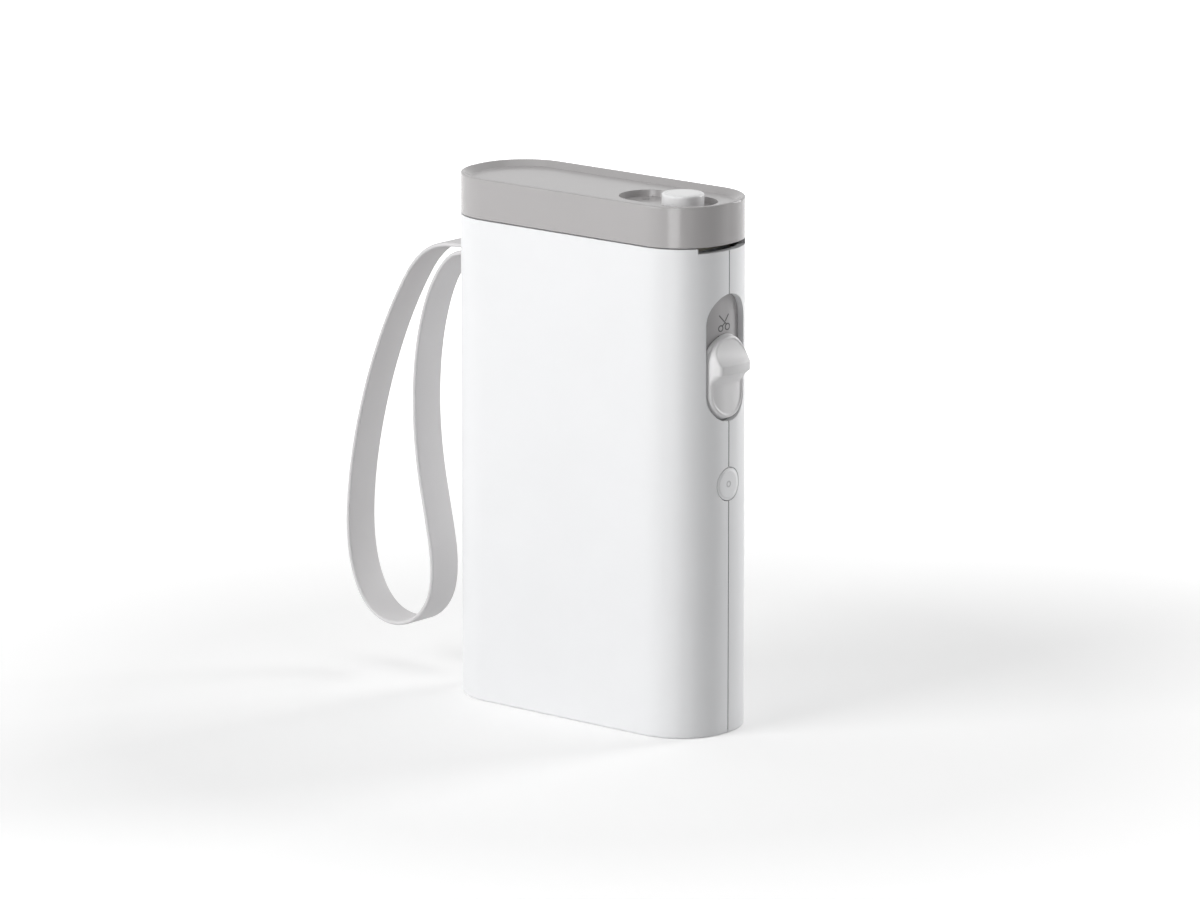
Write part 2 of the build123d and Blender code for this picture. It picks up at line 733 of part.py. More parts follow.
with BuildPart() as hinge_tongue:
    end_ring(hinge_z - HINGE_SWEEP, cap_low, 0, CAP_WALL)
    reach = HINGE_RELIEF - GAP
    rod_y((hinge_x, hinge_z), HINGE_SWEEP, -reach, reach, Mode.INTERSECT)
    block((-end_x, 0), (-reach, reach), (hinge_z - HINGE_SWEEP, cap_low), Mode.INTERSECT)

with BuildPart() as lid_shell:
    outline(cap_low, HEIGHT)
    fillet(faces().sort_by(Axis.Z)[-1].edges(), CAP_ROUND)
    with BuildSketch(z_plane(recess_z)):
        RectangleRounded(WIDTH - 2 * RECESS_INSET, DEPTH - 2 * RECESS_INSET, corner - RECESS_INSET)
    with BuildSketch(z_plane(HEIGHT)):
        RectangleRounded(WIDTH - 2 * RIM, DEPTH - 2 * RIM, corner - RIM)
    loft(mode=Mode.SUBTRACT)
    with BuildSketch(z_plane(dish_z)):
        with Locations((dish_x, 0)):
            SlotOverall(DISH_LENGTH - 2 * DISH_SLOPE, DISH_WIDTH - 2 * DISH_SLOPE)
    with BuildSketch(z_plane(recess_z)):
        with Locations((dish_x, 0)):
            SlotOverall(DISH_LENGTH, DISH_WIDTH)
    loft(mode=Mode.SUBTRACT)
    outline(cap_low, cap_ceiling, CAP_WALL, Mode.SUBTRACT)
    with BuildSketch(z_plane(pan_low)):
        with Locations((dish_x, 0)):
            SlotOverall(DISH_LENGTH + 2 * PAN_WALL, DISH_WIDTH + 2 * PAN_WALL)
    extrude(amount=dish_z - pan_low)
    with BuildSketch(z_plane(dish_z)):
        with Locations((dish_x, 0)):
            SlotOverall(DISH_LENGTH + 2 * PAN_WALL, DISH_WIDTH + 2 * PAN_WALL)
            SlotOverall(DISH_LENGTH, DISH_WIDTH, mode=Mode.SUBTRACT)
    extrude(amount=cap_ceiling - dish_z)
    with BuildSketch(z_plane(pan_low)):
        with Locations((stem_x, 0)):
            SlotOverall(LATCH_TRAVEL + 2 * STEM_R + 2 * SLIDE, 2 * STEM_R + 2 * SLIDE)
    extrude(amount=recess_z - pan_low, mode=Mode.SUBTRACT)
    for at in frame_screw_at:
        rod_z(at, FRAME_BOSS_R, frame_top, cap_ceiling)
        rod_z(at, SCREW_R, frame_top, cap_ceiling - GAP, Mode.SUBTRACT)
    for side in sides:
        span = side_span(side, KNUCKLE_HALF + GAP, EAR_HALF)
        rod_y((hinge_x, hinge_z), KNUCKLE_R, *span)
        block((hinge_x - KNUCKLE_R, hinge_x + KNUCKLE_R), span, (hinge_z, cap_ceiling))
    add(hinge_tongue.part)
    outline(0, HEIGHT, 0, Mode.INTERSECT)
    for side in sides:
        rod_y((hinge_x, hinge_z), HINGE_PIN_R, *side_span(side, KNUCKLE_HALF, EAR_HALF), Mode.SUBTRACT)
    knuckle_room = KNUCKLE_HALF + GAP
    rod_y((hinge_x, hinge_z), KNUCKLE_R + GAP, -knuckle_room, knuckle_room, Mode.SUBTRACT)
write(lid_shell, "lid_shell")

with BuildPart() as hinge_pin:
    rod_y((hinge_x, hinge_z), HINGE_PIN_R, -EAR_HALF, EAR_HALF)
write(hinge_pin, "hinge_pin")

# Frame under the cover: it guides the latch slider and carries the platen's bushes
frame_right = head_x - PLATEN_R - GAP
opening_left = hook_x - LATCH_TRAVEL - GAP
opening_right = hook_right + 2 * FRAME_T
with BuildPart() as lid_frame:
    block((screw_left - FRAME_BOSS_R, frame_right), (-plate_out, plate_out), (frame_low, frame_top))
    for side in sides:
        wall_y = side_span(side, FRAME_RAIL_IN, plate_out)
        block((rail_left, opening_left), wall_y, (frame_top, pan_low))
        block((opening_right, frame_right), wall_y, (frame_top, pan_low))
        arm_y = side_span(side, plate_in, plate_out)
        block((frame_right, head_x + ARM_R), arm_y, (platen_z, pan_low))
        rod_y(platen_at, ARM_R, *arm_y)
        rod_y(platen_at, BUSH_R, *arm_y, mode=Mode.SUBTRACT)
    block((rail_left, rail_left + FRAME_T), (-plate_out, plate_out), (frame_top, pan_low))
    tab = (FRAME_TAB + FRAME_BOSS_R, FRAME_BOSS_R + GEAR_GAP)
    tab_x = (screw_right - tab[1], screw_right + tab[1])
    block(tab_x, (-tab[0], tab[0]), (frame_low, frame_top))
    for at in frame_screw_at:
        rod_z(at, SCREW_R + RUN, frame_low, frame_top, Mode.SUBTRACT)
write(lid_frame, "lid_frame")

with BuildPart() as lid_screws:
    for at in frame_screw_at:
        rod_z(at, SCREW_HEAD_R, frame_low - SCREW_HEAD_H, frame_low)
        rod_z(at, SCREW_R, frame_low, cap_ceiling - 2 * GAP)
write(lid_screws, "lid_screws")

# Latch: the knob on top carries a slider whose two hooks hold under spring clips
with BuildPart() as latch_slider:
    block((hook_x, knob_x + STEM_R + GEAR_GAP), (-SLIDER_HALF, SLIDER_HALF), (slider_low, slider_top))
    block((hook_x, hook_right), (-HOOK_OUT, HOOK_OUT), (slider_low, slider_top))
    for side in sides:
        with BuildSketch(y_plane(side_span(side, HOOK_IN, HOOK_OUT)[1])):
            with BuildLine():
                Polyline(
                    (hook_x, hook_low),
                    (hook_right, hook_low),
                    (hook_right + HOOK_NOSE, hook_low + NOSE_H - NOSE_LIP),
                    (hook_right + HOOK_NOSE, hook_low + NOSE_H),
                    (hook_right, hook_low + NOSE_H),
                    (hook_right, slider_top),
                    (hook_x, slider_top),
                    close=True,
                )
            make_face()
        extrude(amount=HOOK_OUT - HOOK_IN)
    rod_z((knob_x, 0), STEM_R, slider_low, slider_top, Mode.SUBTRACT)
write(latch_slider, "latch_slider")

with BuildPart() as latch_knob:
    rod_z((knob_x, 0), KNOB_R, dish_z + SLIDE, dish_z + SLIDE + KNOB_H)
    fillet(faces().sort_by(Axis.Z)[-1].edges(), KNOB_ROUND)
    rod_z((knob_x, 0), STEM_R, slider_low, dish_z + SLIDE)
write(latch_knob, "latch_knob")

latch_spring_x = rail_left + FRAME_T
latch_spring_length = hook_x - latch_spring_x - 2 * LATCH_SPRING[1]
latch_coil = coil(*LATCH_SPRING, latch_spring_length)
latch_spring_at = (latch_spring_x + LATCH_SPRING[1], 0, (frame_top + pan_low) / 2)
with BuildPart() as latch_spring:
    with Locations(Location(latch_spring_at, (0, 90, 0))):
        add(latch_coil)
write(latch_spring, "latch_spring")

clip_low = hook_low + NOSE_H + SLIDE
clip_right = hook_right + HOOK_NOSE + 2 * GAP + 2 * CLIP_T
with BuildPart() as latch_clips:
    for side in sides:
        with BuildSketch(y_plane(side_span(side, HOOK_IN, HOOK_OUT)[1])):
            with BuildLine():
                FilletPolyline(
                    (hook_right + 2 * GAP, clip_low + CLIP_T / 2),
                    (clip_right - CLIP_T / 2, clip_low + CLIP_T / 2),
                    (clip_right - CLIP_T / 2, hook_low - CLIP_DROP),
                    radius=CLIP_T,
                )
            trace(line_width=CLIP_T)
        extrude(amount=HOOK_OUT - HOOK_IN)
        foot_z = (hook_low - CLIP_DROP, hook_low - CLIP_DROP + CLIP_FOOT)
        block((clip_right - CLIP_T, clip_right + CLIP_T), side_span(side, plate_out, HOOK_OUT), foot_z)
write(latch_clips, "latch_clips")

# Cutter: the lever outside slides in its track and carries the blade up across the label path
lever_low = track_low + LEVER_REST
lever_z = lever_low + LEVER_H / 2
stem_at = lever_low + CUTTER_STEM_UP
carriage_x = end_x - CARRIAGE_IN
carriage_low = lever_low + CARRIAGE_UP
carriage_top = carriage_low + CARRIAGE_H
blade_x = end_x - BLADE_IN
spring_x = end_x - SPRING_IN
lever_back = TRACK_DEPTH - SLIDE
stem_half = CUTTER_STEM_H / 2
track_back = TRACK_DEPTH + TRACK_T
carriage_out = track_back + SLIDE


def end_pad(width, height, z, outer, inner):
    """A pad with round ends that follows the right end of the body, between two insets."""
    with BuildPart() as pad:
        end_ring(z - height, z + height, outer, inner)
        upright_slot(width, height, z, arc_x, end_x + WALL, Mode.INTERSECT)
    return pad.part


def end_disc(r, z, outer, inner):
    """A disc that follows the right end of the body, between two insets."""
    with BuildPart() as disc:
        end_ring(z - 2 * r, z + 2 * r, outer, inner)
        rod_x((0, z), r, arc_x, end_x + WALL, Mode.INTERSECT)
    return disc.part


def end_block(x, y, z, inset):
    """A block whose right face follows the end of the body at an inset."""
    with BuildPart() as piece:
        block((x, end_x + WALL), y, z)
        outline(*z, inset, Mode.INTERSECT)
    return piece.part


flange = (TRACK_W + 2 * TRACK_FLANGE, TRACK_H + 2 * TRACK_FLANGE)
rail_in = CARRIAGE_HALF + GAP
rail_z = (carriage_low - RAIL_OVER, carriage_top + RAIL_OVER)
peg_z = track_low - PEG_DROP
with BuildPart() as peg_tab:
    tab_z = (peg_z - PEG_R, track_low)
    end_ring(*tab_z, WALL, track_back)
    block((arc_x, end_x), (-TAB_HALF, TAB_HALF), tab_z, Mode.INTERSECT)

with BuildPart() as cutter_track:
    add(end_pad(TRACK_W - GAP, TRACK_H - GAP, track_z, TRACK_DEPTH, track_back))
    add(end_pad(*flange, track_z, WALL, track_back))
    for side in sides:
        add(end_block(carriage_x, side_span(side, rail_in, rail_in + RAIL_W), rail_z, track_back - RUN))
    add(end_block(spring_x - PEG_R, (-PEG_R, PEG_R), (peg_z, peg_z + PEG_R), track_back - RUN))
    add(peg_tab.part)
    slot_half = CUTTER_STEM_W / 2 + GAP
    slot_z = (stem_at - stem_half - GAP, stem_at + stem_half + CUTTER_TRAVEL + GAP)
    block((arc_x, end_x), (-slot_half, slot_half), slot_z, Mode.SUBTRACT)
write(cutter_track, "cutter_track")

blade_tip = tape_z - BLADE_REST
blade_shoulder = blade_tip - BLADE_H
blade_low = carriage_top - BLADE_HOLD
blade_neck = CARRIAGE_HALF - GEAR_GAP
blade_slot = ((blade_x, blade_x + BLADE_T), (-blade_neck, blade_neck), (blade_low, carriage_top))
with BuildPart() as cutter_carriage:
    add(end_block(carriage_x, (-CARRIAGE_HALF, CARRIAGE_HALF), (carriage_low, carriage_top), carriage_out))
    stem_z = (stem_at - stem_half, stem_at + stem_half)
    add(end_block(blade_x, (-CUTTER_STEM_W / 2, CUTTER_STEM_W / 2), stem_z, lever_back))
    block(*blade_slot, mode=Mode.SUBTRACT)
write(cutter_carriage, "cutter_carriage")

with BuildPart() as cutter_blade:
    with BuildSketch(x_plane(blade_x)):
        with BuildLine():
            Polyline(
                (-blade_neck, blade_low),
                (blade_neck, blade_low),
                (blade_neck, blade_shoulder),
                (BLADE_HALF, blade_shoulder),
                (BLADE_HALF, blade_tip - BLADE_SLANT),
                (-BLADE_HALF, blade_tip),
                (-BLADE_HALF, blade_shoulder),
                (-blade_neck, blade_shoulder),
                close=True,
            )
        make_face()
    extrude(amount=BLADE_T)
write(cutter_blade, "cutter_blade")

ridge_x = end_x + RIDGE_OUT
ridge_low = lever_low + RIDGE_UP - RIDGE_T / 2
ridge_high = ridge_low + RIDGE_T
lever_face = end_x + LEVER_CROWN
lever_top = lever_low + LEVER_H - LEVER_RIM
ridge_root = ridge_low - RIDGE_ROOT
lever_inside = (LEVER_W - 2 * LEVER_RIM, LEVER_H - 2 * LEVER_RIM)
with BuildPart() as lever_ridge:
    with BuildSketch(y_plane(RIDGE_HALF)):
        with BuildLine():
            Line((end_x - lever_back, lever_top), (lever_face - RIDGE_SINK, lever_top))
            ThreePointArc(
                (lever_face - RIDGE_SINK, lever_top),
                (lever_face + RIDGE_HOLLOW[0], ridge_high + RIDGE_HOLLOW[1]),
                (ridge_x, ridge_high),
            )
            Line((ridge_x, ridge_high), (ridge_x, ridge_low))
            ThreePointArc(
                (ridge_x, ridge_low),
                (lever_face + RIDGE_HOLLOW[0], ridge_low - RIDGE_HOLLOW[2]),
                (lever_face - RIDGE_SINK, ridge_root),
            )
            Line((lever_face - RIDGE_SINK, ridge_root), (end_x - lever_back, ridge_root))
            Line((end_x - lever_back, ridge_root), (end_x - lever_back, lever_top))
        make_face()
    extrude(amount=2 * RIDGE_HALF)
    fillet(edges().filter_by(Axis.Y).group_by(Axis.X)[-1], RIDGE_ROUND)
    upright_slot(*lever_inside, lever_z, arc_x, ridge_x, Mode.INTERSECT)

with BuildPart() as lever_scoop:
    upright_slot(*lever_inside, lever_z, arc_x, ridge_x)
    block((arc_x, ridge_x), (-LEVER_W, LEVER_W), (lever_low, ridge_low - RIDGE_FOOT), Mode.INTERSECT)
    scoop_at = (lever_face - SCOOP_DEPTH + SCOOP_R, (lever_low + LEVER_RIM + ridge_low) / 2)
    rod_y(scoop_at, SCOOP_R, -LEVER_W, LEVER_W, Mode.INTERSECT)

with BuildPart() as cutter_lever:
    add(end_pad(LEVER_W, LEVER_H, lever_z, -LEVER_CROWN, lever_back))
    add(lever_scoop.part, mode=Mode.SUBTRACT)
    add(lever_ridge.part)
    outline(0, HEIGHT, lever_back, Mode.SUBTRACT)
write(cutter_lever, "cutter_lever")

cutter_spring_low = peg_z + PEG_R + CUTTER_SPRING[1]
cutter_coil = coil(*CUTTER_SPRING, carriage_low - CUTTER_SPRING[1] - cutter_spring_low)
with BuildPart() as cutter_spring:
    with Locations((spring_x, 0, cutter_spring_low)):
        add(cutter_coil)
write(cutter_spring, "cutter_spring")

# Power button, its plunger and the switch behind it
button_back = WALL + GEAR_GAP / 2
flange_back = button_back + BUTTON_FLANGE
switch_right = end_x - SWITCH_IN
plunger_x = switch_right + PLUNGER_OUT
with BuildPart() as power_button:
    add(end_disc(BUTTON_R, button_z, 0, flange_back))
    add(end_disc(BUTTON_R + BUTTON_LIP, button_z, button_back, flange_back))
    rod_x((0, button_z), 2 * PLUNGER_R, plunger_x, end_x - WALL)
write(power_button, "power_button")

with BuildPart() as switch_plunger:
    rod_x((0, button_z), PLUNGER_R, switch_right - 2 * BUTTON_TRAVEL, plunger_x)
write(switch_plunger, "switch_plunger")

with BuildPart() as power_switch:
    switch_z = (button_z - SWITCH_W / 2, button_z + SWITCH_W / 2)
    block((switch_right - SWITCH_T, switch_right), (-switch_half, switch_half), switch_z)
    bore_x = switch_right - 4 * BUTTON_TRAVEL
    rod_x((0, button_z), PLUNGER_R + RUN, bore_x, switch_right, Mode.SUBTRACT)
write(power_switch, "power_switch")

# Main board on four posts of the front shell, with the charging socket at its left edge
usb_x = USB_IN - end_x
usb_right = usb_x + USB_L
with BuildPart() as usb_socket:
    upright_slot(USB_T, USB_W, USB_Z, usb_x, usb_right)
    usb_inside = (USB_T - 2 * USB_SHELL, USB_W - 2 * USB_SHELL)
    upright_slot(*usb_inside, USB_Z, usb_x, usb_right - USB_SHELL, Mode.SUBTRACT)
    tongue_z = (USB_Z - USB_W / 2 + 2 * USB_SHELL + GAP, USB_Z + USB_W / 2 - 2 * USB_SHELL - GAP)
    block((usb_x + 2 * USB_SHELL, usb_right), (-USB_SHELL, USB_SHELL), tongue_z)
write(usb_socket, "usb_socket")

with BuildPart() as main_board:
    with BuildSketch(y_plane(board_back)):
        with BuildLine():
            Polyline(
                (-board_half, BOARD_LOW),
                (board_half, BOARD_LOW),
                (board_half, switch_z[0] - BOARD_EDGE),
                (switch_right, switch_z[0] - BOARD_EDGE),
                (switch_right, board_top),
                (-board_half, board_top),
                (-board_half, USB_Z + USB_W),
                (usb_x + BOARD_EDGE, USB_Z + USB_W),
                (usb_x + BOARD_EDGE, USB_Z - USB_W),
                (-board_half, USB_Z - USB_W),
                close=True,
            )
        make_face()
        with Locations(*board_screw_at):
            Circle(SCREW_R + RUN, mode=Mode.SUBTRACT)
    extrude(amount=BOARD_T)
    for x, z, across, up, tall in BOARD_CHIPS:
        block((x, x + across), (board_front - tall, board_front), (z, z + up))
    ribbon_y = (board_front - RIBBON_W - 2 * GAP, board_front - GAP)
    ribbon_low = board_top + BOARD_EDGE
    ribbon_end = board_half - RIBBON_BACK
    plug_x = (ribbon_end - BOARD_EDGE / 2, ribbon_end + BOARD_EDGE / 2)
    block(plug_x, (ribbon_y[0] - GAP, board_front), (board_top - RIBBON_PLUG, ribbon_low))
write(main_board, "main_board")

with BuildPart() as board_screws:
    for at in board_screw_at:
        rod_y(at, SCREW_HEAD_R, board_back, board_back + SCREW_HEAD_H)
        rod_y(at, SCREW_R, board_front - BOARD_SCREW_L + GAP, board_back)
write(board_screws, "board_screws")

with BuildPart() as battery:
    battery_z = (BATTERY_LOW, BATTERY_LOW + BATTERY[2])
    block((-BATTERY[0] / 2, BATTERY[0] / 2), (inner_y - BATTERY[1], inner_y), battery_z)
    fillet(edges().filter_by(Axis.Z), BATTERY_ROUND)
write(battery, "battery")

# Flat ribbon from the print head down to the board
with BuildPart() as head_ribbon:
    with BuildSketch(y_plane(ribbon_y[1])):
        with BuildLine():
            FilletPolyline(
                (head_x + RIBBON_OUT, sink_low - 2 * GAP),
                (head_x + RIBBON_OUT, board_top + RIBBON_TURN),
                (ribbon_end, board_top + RIBBON_TURN),
                (ribbon_end, ribbon_low),
                radius=RIBBON_BEND,
            )
        trace(line_width=RIBBON_T)
    extrude(amount=RIBBON_W)
write(head_ribbon, "head_ribbon")

# Wrist strap: a flat moulded loop whose two ends join in an eye on a bar inside the left end.
# Its points are measured from that bar.
strap_half = (STRAP_T + STRAP_GAP) / 2
STRAP_ROUTE = [
    (-STRAP_ROOT, strap_half),
    (-9.1, strap_half),
    (-15.7, -0.55),
    (-21.1, -4.75),
    (-25.4, -11.15),
    (-30.5, -20.75),
    (-34.7, -30.75),
    (-38.3, -41.35),
    (-41.3, -52.95),
    (-43.3, -64.95),
    (-43.9, -76.95),
    (-42.1, -87.35),
    (-37.5, -95.15),
    (-30.1, -98.35),
    (-21.7, -96.15),
    (-16.5, -89.35),
    (-15.9, -79.55),
    (-18.1, -68.35),
    (-20.7, -55.75),
    (-21.8, -42.35),
    (-21.1, -29.35),
    (-19.0, -18.75),
    (-15.7, -9.75),
    (-10.7, -2.75),
    (-6.1, -strap_half),
    (-STRAP_ROOT, -strap_half),
]


def bend_radii(route):
    """The radius at each corner: 0.45 of its shorter run over the tangent of half the turn."""
    points = [Vector(x, z) for x, z in route]
    radii = []
    for before, here, after in zip(points, points[1:], points[2:]):
        turn = (here - before).get_angle(after - here)
        shorter = min((here - before).length, (after - here).length)
        radii.append(0.45 * shorter / tan(radians(turn / 2)))
    return radii


strap_points = [(strap_bar_at[0] + x, strap_bar_at[1] + z) for x, z in STRAP_ROUTE]
strap_radii = bend_radii(strap_points)
with BuildPart() as wrist_strap:
    with BuildSketch(y_plane(STRAP_W / 2)):
        with BuildLine() as strap_line:
            FilletPolyline(*strap_points, radius=strap_radii)
        trace(line_width=STRAP_T)
        with Locations(strap_bar_at):
            Circle(STRAP_EYE_R)
            Circle(STRAP_BAR_R + RUN, mode=Mode.SUBTRACT)
    extrude(amount=STRAP_W)
write(wrist_strap, "wrist_strap")
strap_length = sum(edge.length for edge in strap_line.edges())
print("strap radii", [round(r, 1) for r in strap_radii])
print("strap length", round(strap_length, 1), "section x length", round(strap_length * STRAP_W * STRAP_T))

with BuildPart() as strap_bar:
    rod_y(strap_bar_at, STRAP_BAR_R, -strap_bar_half, strap_bar_half)
write(strap_bar, "strap_bar")
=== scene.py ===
from math import cos, pi, radians, sin, sqrt

import bmesh
import bpy
from mathutils import Matrix, Vector


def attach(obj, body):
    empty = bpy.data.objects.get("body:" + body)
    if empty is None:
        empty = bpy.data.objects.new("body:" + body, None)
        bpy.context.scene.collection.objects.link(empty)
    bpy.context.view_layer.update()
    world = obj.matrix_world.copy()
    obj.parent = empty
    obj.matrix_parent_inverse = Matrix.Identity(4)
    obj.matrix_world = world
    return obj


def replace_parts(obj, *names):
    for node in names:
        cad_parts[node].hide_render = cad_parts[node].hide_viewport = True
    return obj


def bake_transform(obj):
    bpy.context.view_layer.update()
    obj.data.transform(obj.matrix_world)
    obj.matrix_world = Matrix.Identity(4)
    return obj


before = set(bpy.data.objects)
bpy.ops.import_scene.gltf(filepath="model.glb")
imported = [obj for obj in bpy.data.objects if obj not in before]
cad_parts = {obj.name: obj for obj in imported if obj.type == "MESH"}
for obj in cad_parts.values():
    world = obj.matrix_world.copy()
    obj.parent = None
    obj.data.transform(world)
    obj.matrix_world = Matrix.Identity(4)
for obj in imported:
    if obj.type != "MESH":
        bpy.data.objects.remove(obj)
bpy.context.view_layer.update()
scene = bpy.context.scene
MM = 0.001

# Sizes from the model, in millimetres
WIDTH, DEPTH, CORNER = 79.0, 30.0, 13.9
ARC_X = WIDTH / 2 - CORNER
ARC_Y = DEPTH / 2 - CORNER
TRACK_DEPTH, DISH_FLOOR = 1.6, 127.2
KNOB_X, BUTTON_Z = 25.2, 61.6
ROLL_X, ROLL_Z = -7.0, 94.0


def end_at(y, inset):
    """How far the rounded end reaches along X at a distance y from the middle."""
    return ARC_X + sqrt((CORNER - inset) ** 2 - max(abs(y) - ARC_Y, 0) ** 2)


# Camera: a long lens, from the right of the front and a little above
AZIMUTH, ELEVATION, ROLL = radians(40.0), radians(12.85), radians(-0.028)
DISTANCE, LENS, SENSOR, CLIP_END = 1.873, 232.11, 36, 20
AIM_HEIGHT, AIM_RIGHT, AIM_UP = 0.065, -0.000493, -0.000825
right = Vector((cos(AZIMUTH), sin(AZIMUTH), 0))
back = Vector((sin(AZIMUTH) * cos(ELEVATION), -cos(AZIMUTH) * cos(ELEVATION), sin(ELEVATION)))
up = back.cross(right)
target = Vector((0, 0, AIM_HEIGHT)) + right * AIM_RIGHT + up * AIM_UP
camera = bpy.data.objects.new("camera", bpy.data.cameras.new("camera"))
camera.data.lens = LENS
camera.data.sensor_width = SENSOR
camera.data.clip_end = CLIP_END
camera.matrix_world = Matrix.Translation(target + back * DISTANCE) @ (
    Matrix((right, up, back)).transposed().to_4x4() @ Matrix.Rotation(ROLL, 4, "Z")
)
scene.collection.objects.link(camera)
scene.camera = camera
scene.view_settings.view_transform = "Standard"


# Node and material helpers
def put(tree, kind, **values):
    """Adds a shader node and sets its properties and sockets by name."""
    node = tree.nodes.new(kind)
    for key, value in values.items():
        if hasattr(node, key):
            setattr(node, key, value)
        else:
            node.inputs[key.replace("_", " ")].default_value = value
    return node


def new_material(name):
    material = bpy.data.materials.new(name)
    material.use_nodes = True
    return material, material.node_tree, material.node_tree.nodes["Principled BSDF"]


def object_place(tree):
    """Where a point lies in its object's own space."""
    return tree.nodes.new("ShaderNodeTexCoord").outputs["Object"]


def noise(tree, place, scale, detail=2.0, rough=0.5):
    node = put(tree, "ShaderNodeTexNoise", Scale=scale, Detail=detail, Roughness=rough)
    tree.links.new(place, node.inputs["Vector"])
    return node.outputs["Fac"]


def spread(tree, value, low, high, out_low, out_high):
    """Maps a value from one range to another."""
    node = tree.nodes.new("ShaderNodeMapRange")
    for key, number in (("From Min", low), ("From Max", high), ("To Min", out_low), ("To Max", out_high)):
        node.inputs[key].default_value = number
    tree.links.new(value, node.inputs["Value"])
    return node.outputs["Result"]


def mix(tree, factor, a, b):
    """Mixes two colours."""
    node = put(tree, "ShaderNodeMix", data_type="RGBA")
    tree.links.new(factor, node.inputs["Factor"])
    node.inputs[6].default_value = (*a, 1)
    node.inputs[7].default_value = (*b, 1)
    return node.outputs[2]


def bump(tree, height, distance, normal=None):
    """Turns a height of 0 to 1 into relief of a distance in metres, over another relief if there is one."""
    node = put(tree, "ShaderNodeBump", Strength=1.0, Distance=distance)
    tree.links.new(height, node.inputs["Height"])
    if normal:
        tree.links.new(normal, node.inputs["Normal"])
    return node.outputs["Normal"]


def moulded(name, colour, rough, grain=0.25, depth=0.006, mottle=0.03, gloss_play=0.05, edge=0.0, **shader):
    """Moulded plastic or rubber: a fine eroded grain, a slow change of tone and slightly uneven gloss.
    grain, depth and edge are in millimetres."""
    material, tree, bsdf = new_material(name)
    place = object_place(tree)
    fine = noise(tree, place, 1 / (grain * MM), 3, 0.6)
    slow = noise(tree, place, 45, 3)
    tone = spread(tree, slow, 0.3, 0.7, 0, 1)
    dark = tuple(c * (1 - mottle) for c in colour)
    light = tuple(min(1, c * (1 + mottle)) for c in colour)
    tree.links.new(mix(tree, tone, dark, light), bsdf.inputs["Base Color"])
    gloss = spread(tree, slow, 0.3, 0.7, rough - gloss_play, rough + gloss_play)
    tree.links.new(gloss, bsdf.inputs["Roughness"])
    normal = None
    if edge:
        soft = put(tree, "ShaderNodeBevel", samples=4, Radius=edge * MM)
        normal = soft.outputs["Normal"]
    tree.links.new(bump(tree, fine, depth * MM, normal), bsdf.inputs["Normal"])
    for key, value in shader.items():
        bsdf.inputs[key.replace("_", " ")].default_value = value
    return material


def round_step(material, spot, keep, radius, depth):
    """Sinks a shallow round dish into the material's relief. spot is in metres on the dish's axis, keep is 0 along
    that axis and 1 across it, and radius and depth are in millimetres."""
    wall_in, wall_out = 0.35, 0.15
    tree = material.node_tree
    shift = put(tree, "ShaderNodeVectorMath", operation="SUBTRACT")
    tree.links.new(object_place(tree), shift.inputs[0])
    shift.inputs[1].default_value = spot
    flat = put(tree, "ShaderNodeVectorMath", operation="MULTIPLY")
    tree.links.new(shift.outputs[0], flat.inputs[0])
    flat.inputs[1].default_value = keep
    away = put(tree, "ShaderNodeVectorMath", operation="LENGTH")
    tree.links.new(flat.outputs[0], away.inputs[0])
    rise = spread(tree, away.outputs["Value"], (radius - wall_in) * MM, (radius + wall_out) * MM, 0, 1)
    fine = next(node for node in tree.nodes if node.type == "BUMP")
    source = fine.inputs["Normal"].links[0].from_socket
    tree.links.new(bump(tree, rise, depth * MM, source), fine.inputs["Normal"])


def brushed(name, colour, rough, axis=(1, 1, 12), depth=0.002):
    """Bright metal with fine lines drawn out along one axis."""
    material, tree, bsdf = new_material(name)
    place = object_place(tree)
    stretch = put(tree, "ShaderNodeMapping")
    stretch.inputs["Scale"].default_value = tuple(1 / a for a in axis)
    tree.links.new(place, stretch.inputs["Vector"])
    lines = noise(tree, stretch.outputs["Vector"], 9000, 3, 0.6)
    slow = noise(tree, place, 180, 3)
    dark = tuple(c * 0.86 for c in colour)
    tree.links.new(mix(tree, spread(tree, slow, 0.3, 0.7, 0, 1), dark, colour), bsdf.inputs["Base Color"])
    tree.links.new(spread(tree, lines, 0.3, 0.7, rough - 0.07, rough + 0.07), bsdf.inputs["Roughness"])
    tree.links.new(bump(tree, lines, depth * MM), bsdf.inputs["Normal"])
    bsdf.inputs["Metallic"].default_value = 1
    return material


def rolled_paper():
    """A wound roll: rings on its flat sides, plain paper round it."""
    material, tree, bsdf = new_material("wound_label_paper")
    place = object_place(tree)
    shift = put(tree, "ShaderNodeMapping")
    shift.inputs["Location"].default_value = (-ROLL_X * MM, 0, -ROLL_Z * MM)
    tree.links.new(place, shift.inputs["Vector"])
    rings = put(tree, "ShaderNodeTexWave", wave_type="RINGS", rings_direction="Y", Scale=950, Distortion=0.6)
    rings.inputs["Detail"].default_value = 2
    tree.links.new(shift.outputs["Vector"], rings.inputs["Vector"])
    winds = rings.outputs["Fac"]
    tree.links.new(mix(tree, winds, (0.74, 0.74, 0.73), (0.9, 0.9, 0.89)), bsdf.inputs["Base Color"])
    fibres = noise(tree, place, 2600, 4, 0.6)
    tree.links.new(spread(tree, fibres, 0.3, 0.7, 0.6, 0.75), bsdf.inputs["Roughness"])
    under = bump(tree, winds, 0.04 * MM)
    tree.links.new(bump(tree, fibres, 0.006 * MM, under), bsdf.inputs["Normal"])
    return material


